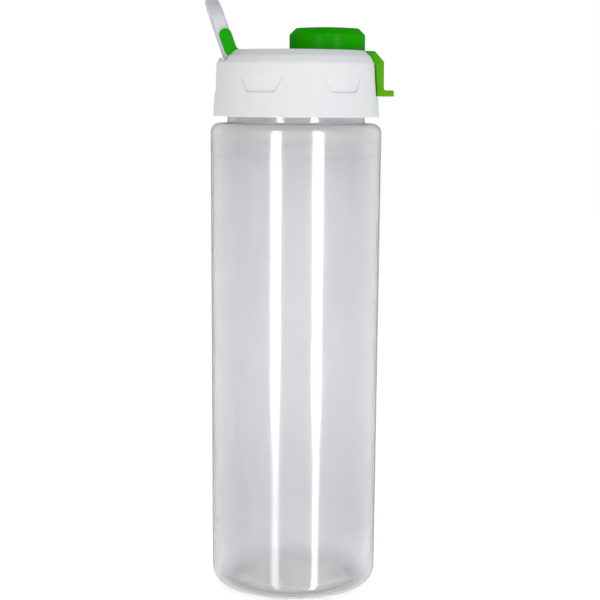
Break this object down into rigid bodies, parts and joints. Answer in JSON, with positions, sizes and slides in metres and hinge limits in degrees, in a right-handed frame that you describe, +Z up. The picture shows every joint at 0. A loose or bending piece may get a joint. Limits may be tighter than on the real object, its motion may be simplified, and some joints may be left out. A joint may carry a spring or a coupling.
{
  "type": "flip-cap sports water bottle",
  "caption": "Tall tapered frosted drinking bottle with a threaded neck, a screw lid, a hinged flip cap over the spout with a latch tab, and a leaning finger loop for carrying.",
  "frame": {"origin": "centre of the base, on the bottle's axis, in the plane the bottle stands on", "axes": "+Z up the bottle's axis, +X towards the flip cap's latch tab, -X towards the carry loop, +Y across the bottle, along the cap's hinge axis"},
  "size_m": [0.0804, 0.073, 0.2537],
  "materials": {
    "frosted_body": "frosted translucent polypropylene, satin outside",
    "lid_white": "white moulded polypropylene, fine satin",
    "liner_white": "white moulded polypropylene, semi-gloss",
    "loop_white": "white moulded plastic, satin",
    "cap_green": "bright green moulded plastic, glossy",
    "gasket_silicone": "translucent white silicone",
    "seal_silicone": "translucent white silicone",
    "pin_steel": "drawn stainless wire"
  },
  "bodies": {
    "bottle": {"bottle_body": "frosted_body"},
    "gasket": {"lid_gasket": "gasket_silicone"},
    "lid": {"lid_shell": "lid_white", "lid_liner": "liner_white", "carry_loop": "loop_white", "hinge_pins": "pin_steel"},
    "cap": {"flip_cap": "cap_green", "cap_seal": "seal_silicone"}
  },
  "joints": [
    {"name": "lid_lift", "type": "slide", "parent": "bottle", "child": "gasket", "axis": [0, 0, 1], "range_m": [0, 0.024]},
    {"name": "lid_turn", "type": "hinge", "parent": "gasket", "child": "lid", "pos_m": [0, 0, 0.2078], "axis": [0, 0, 1], "range_deg": [0, 1080.5]},
    {"name": "cap_hinge", "type": "hinge", "parent": "lid", "child": "cap", "pos_m": [-0.03075, 0, 0.23755], "axis": [0, -1, 0], "range_deg": [0, 122]}
  ],
  "couplings": [
    {"joint": "lid_turn", "follows": "lid_lift", "rad_per_m": 785.4}
  ]
}
